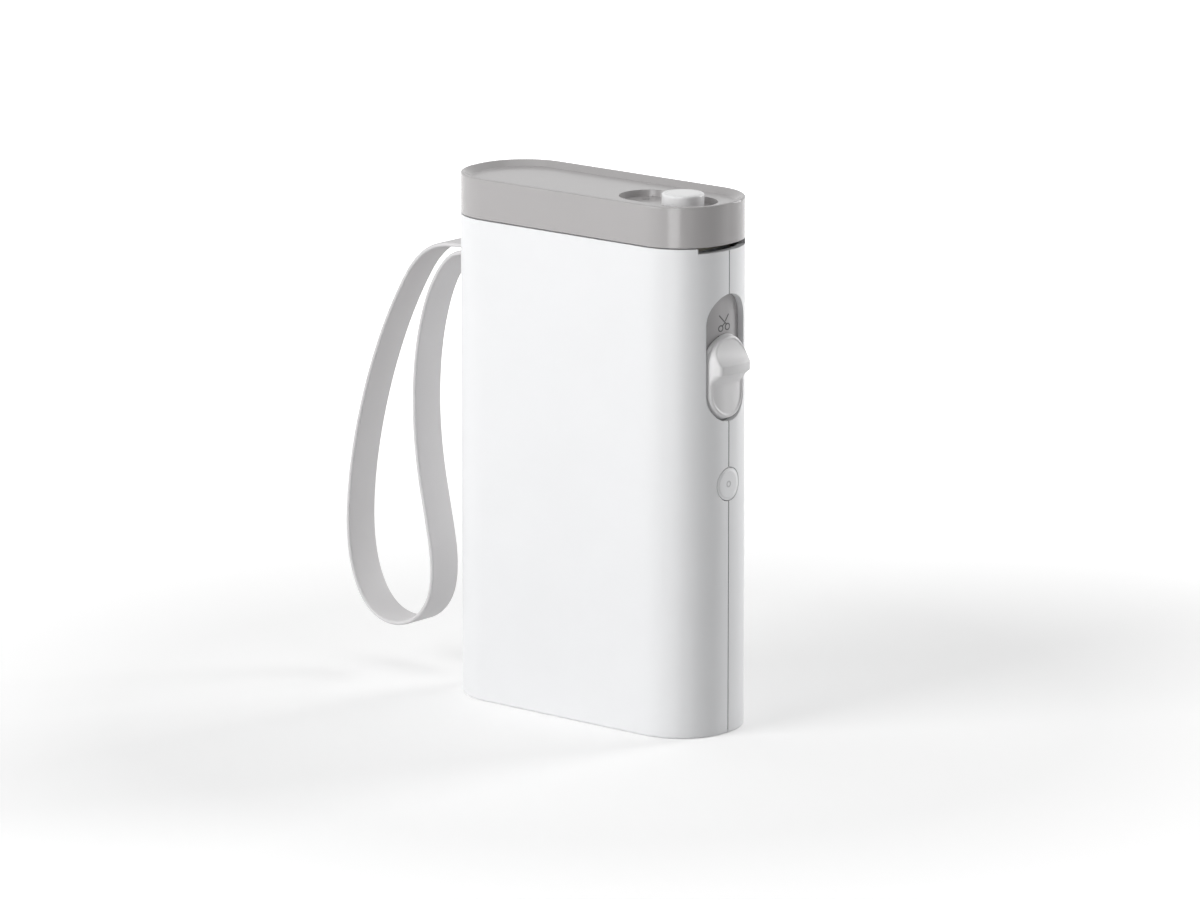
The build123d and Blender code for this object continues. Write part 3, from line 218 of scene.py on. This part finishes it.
def circuit_board():
    """Green solder mask with paler tracks under it."""
    material, tree, bsdf = new_material("circuit_board")
    place = object_place(tree)
    cells = put(tree, "ShaderNodeTexBrick", offset=0.35, Scale=260)
    cells.inputs["Mortar Size"].default_value = 0.018
    turn = put(tree, "ShaderNodeMapping")
    turn.inputs["Rotation"].default_value = (pi / 2, 0, 0)
    tree.links.new(place, turn.inputs["Vector"])
    tree.links.new(turn.outputs["Vector"], cells.inputs["Vector"])
    tracks = cells.outputs["Fac"]
    tree.links.new(mix(tree, tracks, (0.012, 0.13, 0.06), (0.04, 0.24, 0.12)), bsdf.inputs["Base Color"])
    tree.links.new(spread(tree, noise(tree, place, 400), 0.3, 0.7, 0.28, 0.4), bsdf.inputs["Roughness"])
    tree.links.new(bump(tree, tracks, 0.03 * MM), bsdf.inputs["Normal"])
    return material


def dress(material, *names):
    """Gives CAD nodes this material in place of the one that they came with."""
    for name in names:
        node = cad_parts[name]
        node.data.materials.clear()
        node.data.materials.append(material)
        for face in node.data.polygons:
            face.material_index = 0


# Materials of the outside
WHITE = (0.87, 0.875, 0.885)
shell_white = moulded("satin_white_shell", WHITE, 0.46, grain=0.32, depth=0.009, mottle=0.008, edge=0.25)
button_white = moulded("satin_white_button", WHITE, 0.42, grain=0.32, depth=0.006, mottle=0.008, edge=0.3)
knob_white = moulded(
    "smooth_white_knob", (0.9, 0.9, 0.905), 0.24, grain=0.5, depth=0.002, mottle=0.006, gloss_play=0.02, edge=0.35
)
# painted shade: the lever's white is set darker than the shell's same white, to dim its side as shade would
shade_dimmed_lever_white = moulded(
    "satin_white_lever_painted_shade", (0.77, 0.765, 0.77), 0.44, grain=0.3, depth=0.008, mottle=0.008, edge=0.35
)
cap_grey = moulded(
    "satin_grey_cap", (0.445, 0.432, 0.432), 0.17, grain=0.3, depth=0.002, mottle=0.012, gloss_play=0.02, edge=0.2,
    Specular_IOR_Level=0.32,
)
# painted shade: the track liner's grey is set far darker than its own pale colour, to stand in for the shade in its
# recess
track_painted_shade_grey = moulded("track_painted_shade", (0.4, 0.39, 0.395), 0.45, grain=0.3, depth=0.006, mottle=0.015, edge=0.2)
strap_grey = moulded("soft_grey_strap", (0.69, 0.68, 0.685), 0.6, grain=0.22, depth=0.012, mottle=0.02)
icon_grey = moulded("icon_ink", (0.1, 0.1, 0.102), 0.5, grain=0.3, depth=0.003, mottle=0.05)
icon_pale = moulded("icon_pale_ink", (0.62, 0.62, 0.63), 0.5, grain=0.3, depth=0.003, mottle=0.03)
# painted shade: a dark grey for strips laid in the parting grooves, darkening them as shade would
seam_painted_shade_grey = moulded("painted_seam_shade", (0.16, 0.16, 0.165), 0.7, grain=0.3, depth=0.004, mottle=0.1)
round_step(knob_white, (KNOB_X * MM, 0, 0), (1, 1, 0), 4.2, -0.22)
round_step(button_white, (0, 0, BUTTON_Z * MM), (0, 1, 1), 3.5, -0.15)

# Materials of the inside
frame_dark = moulded(
    "dark_frame_plastic", (0.03, 0.031, 0.034), 0.5, grain=0.35, depth=0.012, mottle=0.15, edge=0.15
)
gear_white = moulded("gear_plastic", (0.78, 0.76, 0.7), 0.38, grain=0.4, depth=0.004, mottle=0.03)
ceramic = moulded("glazed_ceramic", (0.72, 0.69, 0.6), 0.18, grain=0.5, depth=0.001, mottle=0.02, gloss_play=0.03)
roller_black = moulded("ground_black_rubber", (0.02, 0.02, 0.021), 0.72, grain=0.12, depth=0.02, mottle=0.2)
card = moulded("wound_card", (0.4, 0.28, 0.16), 0.8, grain=0.18, depth=0.03, mottle=0.12)
web_paper = moulded("label_web_paper", (0.88, 0.88, 0.87), 0.55, grain=0.3, depth=0.006, mottle=0.01)
ribbon_film = moulded("ribbon_film", (0.5, 0.2, 0.03), 0.3, grain=0.6, depth=0.002, mottle=0.05)
battery_foil = moulded("battery_foil", (0.55, 0.56, 0.58), 0.35, grain=1.2, depth=0.03, mottle=0.04, Metallic=0.8)
steel = brushed("bright_steel", (0.66, 0.66, 0.67), 0.28)
motor_steel = brushed("motor_can", (0.5, 0.51, 0.53), 0.34, axis=(1, 12, 1))
aluminium = brushed("milled_aluminium", (0.76, 0.77, 0.79), 0.36, axis=(12, 1, 1))
brass = brushed("sintered_brass", (0.7, 0.5, 0.22), 0.4)

dress(shell_white, "front_shell", "rear_shell")
dress(button_white, "power_button")
dress(knob_white, "latch_knob")
# The lever's dimmed white holds painted shade.
dress(shade_dimmed_lever_white, "cutter_lever")
dress(cap_grey, "lid_shell")
# The track's dark grey is painted shade.
dress(track_painted_shade_grey, "cutter_track")
dress(
    frame_dark, "chassis", "roll_holders", "label_sensor", "lid_frame", "latch_slider", "cutter_carriage",
    "switch_plunger",
)
dress(gear_white, "reduction_gear", "idler_gear", "platen_gear")
dress(ceramic, "print_head")
dress(roller_black, "platen_roller")
dress(card, "roll_core")
dress(web_paper, "label_strip")
dress(rolled_paper(), "label_roll")
dress(circuit_board(), "main_board")
dress(ribbon_film, "head_ribbon")
dress(battery_foil, "battery")
dress(motor_steel, "motor")
dress(aluminium, "heat_sink")
dress(brass, "motor_pinion", "platen_bushes")
dress(
    steel, "shell_screws", "chassis_screws", "head_pin", "head_springs", "motor_shaft", "motor_screws", "gear_pins",
    "platen_shaft", "hinge_pin", "lid_screws", "latch_spring", "latch_clips", "cutter_blade", "cutter_spring",
    "power_switch", "usb_socket", "board_screws", "strap_bar",
)


def new_mesh(name, points, faces, material, body, smooth=True):
    """A finished piece of mesh, with points in millimetres, that rides on a body."""
    mesh = bpy.data.meshes.new(name)
    mesh.from_pydata([Vector(p) * MM for p in points], [], faces)
    mesh.materials.append(material)
    mesh.validate()
    mesh.update()
    for face in mesh.polygons:
        face.use_smooth = smooth
    piece = bpy.data.objects.new(name, mesh)
    scene.collection.objects.link(piece)
    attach(piece, body)
    return piece


# Wrist strap: a flat moulded band along the model's route, with rounded edges and an eye round the bar
STRAP_W, STRAP_T, STRAP_EDGE, STRAP_GAP = 10.0, 1.1, 0.7, 0.4
STRAP_BAR = (-34.9, 109.35)
EYE_HOLE, EYE_R, EYE_CORNER = 1.28, 2.1, 0.2
HALF_GAP = (STRAP_T + STRAP_GAP) / 2
ROUTE = [
    (-36.5, STRAP_BAR[1] + HALF_GAP), (-44.0, STRAP_BAR[1] + HALF_GAP), (-50.6, 108.8), (-56.0, 104.6),
    (-60.3, 98.2), (-65.4, 88.6), (-69.6, 78.6), (-73.2, 68.0), (-76.2, 56.4), (-78.2, 44.4), (-78.8, 32.4),
    (-77.0, 22.0), (-72.4, 14.2), (-65.0, 11.0), (-56.6, 13.2), (-51.4, 20.0), (-50.8, 29.8), (-53.0, 41.0),
    (-55.6, 53.6), (-56.7, 67.0), (-56.0, 80.0), (-53.9, 90.6), (-50.6, 99.6), (-45.6, 106.6),
    (-41.0, STRAP_BAR[1] - HALF_GAP), (-36.5, STRAP_BAR[1] - HALF_GAP),
]


def spline_points(route):
    """Points in metres on the smooth spline that has the route as its control points."""
    curve = bpy.data.curves.new("strap_route", "CURVE")
    curve.dimensions = "3D"
    spline = curve.splines.new("NURBS")
    spline.points.add(len(route) - 1)
    for point, (x, z) in zip(spline.points, route):
        point.co = (x * MM, 0, z * MM, 1)
    spline.order_u = 3
    spline.use_endpoint_u = True
    spline.resolution_u = 10
    holder = bpy.data.objects.new("strap_route", curve)
    mesh = bpy.data.meshes.new_from_object(holder)
    points = [v.co.copy() for v in mesh.vertices]
    bpy.data.objects.remove(holder)
    return points


def band_section(width, thick, edge):
    """A flat band with half-round edges: (across, out) pairs round its section."""
    section = []
    for side, start in ((1, -90), (-1, 90)):
        for step in range(7):
            angle = radians(start + step * 30)
            section.append((side * (width / 2 - edge) + edge * cos(angle), thick / 2 * sin(angle)))
    return section


def strap_mesh(path):
    """The band's section carried along the path."""
    section = band_section(STRAP_W, STRAP_T, STRAP_EDGE)
    points, faces = [], []
    for index, here in enumerate(path):
        before, after = path[max(index - 1, 0)], path[min(index + 1, len(path) - 1)]
        along = (after - before).normalized()
        out = Vector((-along.z, 0, along.x))
        points += [tuple(here / MM + out * lift + Vector((0, across, 0))) for across, lift in section]
    ring = len(section)
    last = len(points) - ring
    for start in range(0, last, ring):
        for k in range(ring):
            a, b = start + k, start + (k + 1) % ring
            faces.append((a, b, b + ring, a + ring))
    faces.append(tuple(reversed(range(ring))))
    faces.append(tuple(range(last, last + ring)))
    return new_mesh("strap_band", points, faces, strap_grey, "base")


def eye_mesh():
    """The moulded eye that joins the strap's two ends round the bar."""
    half, steps = STRAP_W / 2, 40
    profile = (
        (EYE_HOLE, -half), (EYE_R - EYE_CORNER, -half), (EYE_R, EYE_CORNER - half), (EYE_R, half - EYE_CORNER),
        (EYE_R - EYE_CORNER, half), (EYE_HOLE, half),
    )
    count = len(profile)
    points, faces = [], []
    for step in range(steps):
        angle = 2 * pi * step / steps
        for radius, y in profile:
            points.append((STRAP_BAR[0] + radius * cos(angle), y, STRAP_BAR[1] + radius * sin(angle)))
        here, there = step * count, (step + 1) % steps * count
        for k in range(count):
            after = (k + 1) % count
            faces.append((here + k, here + after, there + after, there + k))
    return new_mesh("strap_eye", points, faces, strap_grey, "base")


path = spline_points(ROUTE)
strap = strap_mesh(path)
eye = eye_mesh()
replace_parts(strap, "wrist_strap")
length = sum((b - a).length for a, b in zip(path, path[1:]))

# Cutter lever: a sunk flange, a raised plate with a hollow for the thumb, and a scooped ridge with a square lip
LEVER_R, LEVER_LOW, LEVER_HIGH, LEVER_BACK = 6.6, 77.5, 98.15, 1.4
FLANGE, FLANGE_SINK = 0.3, 1.2
PLATE_CROWN, PLATE_EDGE = 0.25, 0.7
PAD_MID, PAD_HALF, PAD_DEPTH, PAD_EDGE = 84.6, 7.2, 0.42, (0.75, 1.15)
LIP_LOW, LIP_HIGH, LIP_X, LIP_PLAN = 89.1, 91.2, 42.4, 22.0
HOLLOW_H, HOLLOW_FOOT, SWEEP = 3.5, -0.2, 1.6
FACET_H, FACET_FOOT, FACET_DISH, FACET_HALF = 6.2, 0.35, 0.6, 5.3
FACET_SINK, FACET_LEAST, FACET_EDGE, FACET_START = 0.15, -0.35, (0.7, 0.85), 1.5
SIDE_ROUND, SIDE_TIGHTER, SIDE_BLEND = 1.35, 0.25, 2.5
LEVER_HEIGHTS = (
    84.6, 85.1, 85.6, 86.1, 86.6, 87.0, 87.4, 87.8, 88.15, 88.5, 88.8, 89.0, 89.08, 89.12, 89.3, 90.2, 91.0, 91.17,
    91.2, 91.24, 91.35,
)
LEVER_INSETS = (
    0, 0.295, 0.305, 0.33, 0.38, 0.46, 0.58, 0.72, 0.86, 1.0, 1.06, 1.12, 1.2, 1.35, 1.5, 1.75, 2.1, 2.6, 3.1, 3.7,
    4.4, 5.2, 6.0, LEVER_R,
)
BACK_INSETS = (0, 2.2, 4.4, LEVER_R)
WELD = 1e-6


def ease(value, low, high):
    """Rises smoothly from 0 at low to 1 at high."""
    t = min(max((value - low) / (high - low), 0), 1)
    return t * t * (3 - 2 * t)


def ridge_at(u, v):
    """How far out the ridge stands: a dished facet that sweeps up to the lip, the lip, and the hollow below it."""
    drop = LIP_PLAN - sqrt(LIP_PLAN ** 2 - u ** 2)
    if v > LIP_HIGH:
        t = min((v - LIP_HIGH) / FACET_H, 1)
        foot = WIDTH / 2 + FACET_FOOT
        dish = FACET_DISH * max(1 - (u / FACET_HALF) ** 2, 0) * sin(pi * t)
        return foot + (LIP_X - foot) * (1 - t) ** SWEEP - dish - drop
    if v >= LIP_LOW:
        return LIP_X - drop
    t = (LIP_LOW - v) / HOLLOW_H
    foot = WIDTH / 2 + HOLLOW_FOOT
    return foot + (LIP_X - foot) * (1 - t) ** SWEEP - drop if t < 1 else 0


def lever_face(u, v, inset):
    """How far out the lever stands at a place across and up, and an inset from its outline."""
    inside = inset - FLANGE
    if inside <= 0:
        return end_at(u, FLANGE_SINK)
    fall = max(PLATE_EDGE - inside, 0)
    plate = end_at(u, 0) + PLATE_CROWN - PLATE_EDGE + sqrt(PLATE_EDGE ** 2 - fall ** 2)
    ridge = ridge_at(u, v)
    if v < LIP_LOW:
        plate -= PAD_DEPTH * max(1 - ((v - PAD_MID) / PAD_HALF) ** 2, 0) * ease(inside, *PAD_EDGE)
    side = SIDE_ROUND - SIDE_TIGHTER * ease(v, LIP_HIGH, LIP_HIGH + SIDE_BLEND)
    soft = 1 - min(inside / side, 1)
    out = plate + max(ridge - plate, 0) * sqrt(1 - soft ** 2)
    facet = max(ridge - FACET_SINK, plate + FACET_LEAST)
    share = ease(inside, *FACET_EDGE) * ease(v, LIP_HIGH, LIP_HIGH + FACET_START)
    return out + (facet - out) * share


def lever_outline():
    """Places round the lever: a direction across and up, and the height on the centre line that it starts from."""
    low, high = LEVER_LOW + LEVER_R, LEVER_HIGH - LEVER_R
    heights = (low, *LEVER_HEIGHTS, high)
    turns = [pi * k / 36 for k in range(1, 36)]
    return (
        [(1, 0, v) for v in heights] + [(cos(a), sin(a), high) for a in turns]
        + [(-1, 0, v) for v in reversed(heights)] + [(-cos(a), -sin(a), low) for a in turns]
    )


def lever_mesh():
    """The whole lever as rings from the middle of its face, out round its edge and in across its back."""
    around = lever_outline()
    points, faces = [], []
    for insets, front in ((reversed(LEVER_INSETS), True), (BACK_INSETS, False)):
        for inset in insets:
            for across, rise, v in around:
                u, w = across * (LEVER_R - inset), v + rise * (LEVER_R - inset)
                points.append((lever_face(u, w, inset) if front else end_at(u, LEVER_BACK), u, w))
    count = len(around)
    for row in range(len(points) // count - 1):
        for k in range(count):
            a, b = row * count + k, row * count + (k + 1) % count
            faces.append((a, a + count, b + count, b))
    piece = new_mesh("lever_grip", points, faces, shade_dimmed_lever_white, "cutter")
    mesh = bmesh.new()
    mesh.from_mesh(piece.data)
    bmesh.ops.remove_doubles(mesh, verts=mesh.verts, dist=WELD)
    bmesh.ops.recalc_face_normals(mesh, faces=mesh.faces)
    mesh.to_mesh(piece.data)
    mesh.free()
    return piece


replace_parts(lever_mesh(), "cutter_lever")


def sprung(name):
    """Copies a spring's mesh into a piece of its own, in place of the CAD node."""
    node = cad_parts[name]
    piece = bpy.data.objects.new(name + "_coils", node.data.copy())
    piece.matrix_world = node.matrix_world.copy()
    scene.collection.objects.link(piece)
    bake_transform(piece)
    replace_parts(piece, name)


sprung("head_springs")
sprung("latch_spring")
sprung("cutter_spring")

# Lines: painted shade along the bottoms of the parting grooves, and icons a hair proud of the surfaces they are
# printed on
LINE_LIFT = 0.03
SEAM_SINK, SEAM_WIDTH = 0.1, 0.29
SEAMS = (
    ("right", 1, ((1, 57.4), (65.8, 77), (108, 118.5))),
    ("left", -1, ((1, 17.2), (26.8, 107.7), (111, 114))),
)
SCISSORS_Z, SCISSORS_WIDTH = 100.5, 0.33
RING_R, RING_WIDTH = 0.64, 0.36
TRIANGLE_AT, TRIANGLE_WIDTH = (12.3, 2.3), 0.34


def line_art(name, strokes, width, place, material, body):
    """Flat lines: strokes are lists of (u, v) points in millimetres, closed when they end where they start,
    and place(u, v, lift) puts a point on the surface."""
    points, faces = [], []
    for stroke in strokes:
        closed = stroke[0] == stroke[-1]
        run = [Vector(p) for p in (stroke[:-1] if closed else stroke)]
        first, count = len(points), len(run)
        for index, here in enumerate(run):
            before = run[index - 1] if closed or index else here
            after = run[(index + 1) % count] if closed or index < count - 1 else here
            along = (after - before).normalized()
            side = Vector((-along.y, along.x)) * width / 2
            for spot, lift in ((here + side, -1), (here + side, 1), (here - side, 1), (here - side, -1)):
                points.append(place(spot.x, spot.y, lift * LINE_LIFT))
        for index in range(count if closed else count - 1):
            a, b = first + index * 4, first + (index + 1) % count * 4
            for k in range(4):
                after = (k + 1) % 4
                faces.append((a + k, a + after, b + after, b + k))
        if not closed:
            last = first + (count - 1) * 4
            faces += [(first + 3, first + 2, first + 1, first), (last, last + 1, last + 2, last + 3)]
    return new_mesh(name, points, faces, material, body, smooth=False)


def loop(u, v, radius, squeeze=1.0, steps=28):
    """A closed round stroke, made wider or narrower by squeeze."""
    turns = [2 * pi * k / steps for k in range(steps)]
    ring = [(u + radius * squeeze * cos(a), v + radius * sin(a)) for a in turns]
    return ring + [ring[0]]


def straight(a, b, steps=6):
    """A straight stroke with points along it, so that it follows a curved surface."""
    return [(a[0] + (b[0] - a[0]) * k / steps, a[1] + (b[1] - a[1]) * k / steps) for k in range(steps + 1)]


def on_end(z, inset):
    """Places a point on the right end of the body, at a height and an inset."""
    return lambda u, v, lift: (end_at(u, inset) + lift, u, z + v)


def on_seam(side):
    """Places a point in the groove between the two shells, at either end of the body."""
    return lambda u, v, lift: (side * (WIDTH / 2 - SEAM_SINK + lift), u, v)


def on_dish(u, v, lift):
    """Places a point on the floor of the cap's dish."""
    return TRIANGLE_AT[0] + u, TRIANGLE_AT[1] + v, DISH_FLOOR + lift


# The dark strips in the parting grooves are painted shade.
for end, side, stretches in SEAMS:
    strokes = [[(0, low), (0, high)] for low, high in stretches]
    line_art("seam_painted_shade_line_" + end, strokes, SEAM_WIDTH, on_seam(side), seam_painted_shade_grey, "base")
scissors = [
    straight((-1.81, 2.26), (0.92, -0.23)), straight((1.72, 2.2), (0.45, 0.61)),
    straight((0.31, 0.15), (-0.67, -0.44)), loop(-1.2, -0.97, 0.68, 1.15), loop(1.3, -0.85, 0.74, 1.15),
]
on_track = on_end(SCISSORS_Z, TRACK_DEPTH)
line_art("scissors_icon", scissors, SCISSORS_WIDTH, on_track, icon_grey, "base")
ring = [loop(0, 0, RING_R)]
line_art("power_icon", ring, RING_WIDTH, on_end(BUTTON_Z, 0), icon_pale, "button")
triangle = [[(-0.9, -0.75), (0.9, -0.75), (0, 0.8), (-0.9, -0.75)]]
line_art("latch_icon", triangle, TRIANGLE_WIDTH, on_dish, icon_grey, "lid")

# Floor, light and background
FLOOR_HALF, FLOOR_GREY = 6, 0.8
GLOW_FROM, GLOW_TO, GLOW_LEAST = 0.12, 0.5, 0.3
AMBIENT = 0.25


def seen_rays(tree):
    """1 for what the camera sees straight, in gloss or through glass, and 0 for what only lights the object."""
    rays = tree.nodes.new("ShaderNodeLightPath").outputs
    total = rays["Is Camera Ray"]
    for key in ("Is Glossy Ray", "Is Transmission Ray"):
        join = put(tree, "ShaderNodeMath", operation="MAXIMUM")
        tree.links.new(total, join.inputs[0])
        tree.links.new(rays[key], join.inputs[1])
        total = join.outputs["Value"]
    return total


def stage_floor():
    """A pale floor that takes the object's shadow and is white to the camera away from it."""
    mesh = bpy.data.meshes.new("floor")
    corners = [(x * FLOOR_HALF, y * FLOOR_HALF, 0) for x, y in ((-1, -1), (1, -1), (1, 1), (-1, 1))]
    mesh.from_pydata(corners, [], [(0, 1, 2, 3)])
    material, tree, bsdf = new_material("pale_floor")
    bsdf.inputs["Base Color"].default_value = (FLOOR_GREY, FLOOR_GREY, FLOOR_GREY, 1)
    bsdf.inputs["Roughness"].default_value = 0.9
    bsdf.inputs["Specular IOR Level"].default_value = 0
    away = put(tree, "ShaderNodeVectorMath", operation="LENGTH")
    tree.links.new(object_place(tree), away.inputs[0])
    share = put(tree, "ShaderNodeMath", operation="MULTIPLY")
    tree.links.new(spread(tree, away.outputs["Value"], GLOW_FROM, GLOW_TO, GLOW_LEAST, 1.0), share.inputs[0])
    tree.links.new(seen_rays(tree), share.inputs[1])
    bsdf.inputs["Emission Color"].default_value = (1, 1, 1, 1)
    tree.links.new(share.outputs["Value"], bsdf.inputs["Emission Strength"])
    mesh.materials.append(material)
    floor = bpy.data.objects.new("floor", mesh)
    scene.collection.objects.link(floor)


def soft_box(name, place, size, power, aim=(0, 0, 0.06)):
    """A square lamp that faces a point on the object."""
    data = bpy.data.lights.new(name, "AREA")
    data.shape = "RECTANGLE"
    data.size, data.size_y = size
    data.energy = power
    lamp = bpy.data.objects.new(name, data)
    lamp.location = place
    lamp.rotation_euler = (Vector(place) - Vector(aim)).to_track_quat("Z", "Y").to_euler()
    scene.collection.objects.link(lamp)
    return lamp


def studio_world():
    """A soft even light that is plain white to the camera."""
    world = bpy.data.worlds.new("studio")
    world.use_nodes = True
    scene.world = world
    tree = world.node_tree
    tree.nodes.clear()
    blend = tree.nodes.new("ShaderNodeMixShader")
    tree.links.new(seen_rays(tree), blend.inputs["Fac"])
    for socket, strength in ((1, AMBIENT), (2, 1.0)):
        glow = put(tree, "ShaderNodeBackground", Strength=strength)
        glow.inputs["Color"].default_value = (1, 1, 1, 1)
        tree.links.new(glow.outputs["Background"], blend.inputs[socket])
    out = tree.nodes.new("ShaderNodeOutputWorld")
    tree.links.new(blend.outputs["Shader"], out.inputs["Surface"])


stage_floor()
soft_box("key", (-0.5, -1.35, 0.6), (0.9, 1.1), 16.5)
soft_box("top", (-0.2, 0.1, 1.4), (1.0, 0.8), 3)
soft_box("rim", (0.45, 1.2, 0.45), (0.45, 0.8), 9)
strip = soft_box("strip", (0.235, -0.44, 0.25), (0.19, 0.5), 1.9, aim=(0, 0, 0.25))
strip.visible_camera = strip.visible_diffuse = False
studio_world()
